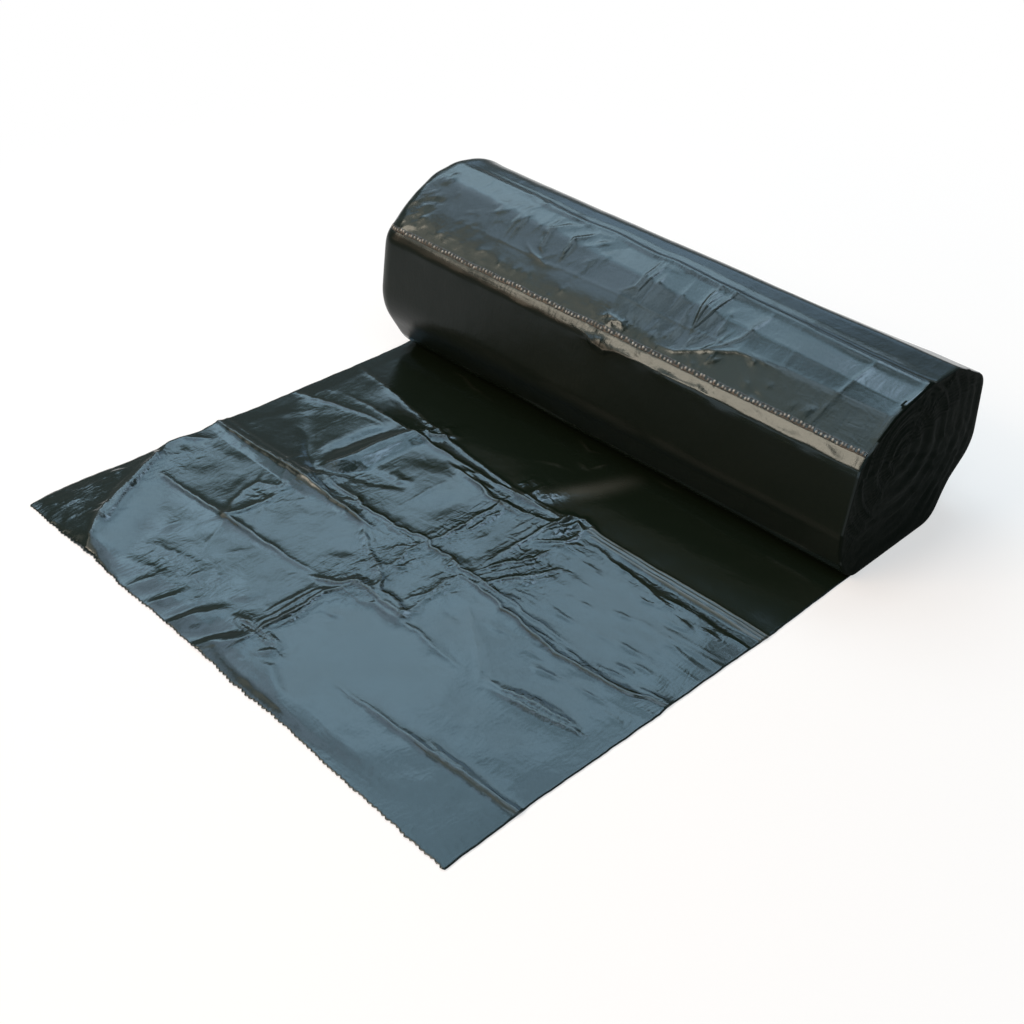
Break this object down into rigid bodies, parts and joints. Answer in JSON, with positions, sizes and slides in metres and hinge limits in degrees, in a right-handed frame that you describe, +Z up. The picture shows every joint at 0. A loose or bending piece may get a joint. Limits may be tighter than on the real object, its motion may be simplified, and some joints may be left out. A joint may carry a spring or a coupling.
{
  "type": "roll of dog poop bags",
  "caption": "Wide coreless roll of black dog waste bags, lying on its side with its first bag run out flat in front of it.",
  "frame": {"origin": "on the surface the roll and its first bag lie on, under the middle of the whole object", "axes": "+X along the roll from its left end to its right end, +Y from the torn edge of the first bag back towards the roll, +Z up"},
  "size_m": [0.2, 0.2222, 0.0654],
  "materials": {
    "film": "semi-gloss thin black film"
  },
  "bodies": {
    "root": {"bag_roll": "film"}
  },
  "joints": []
}
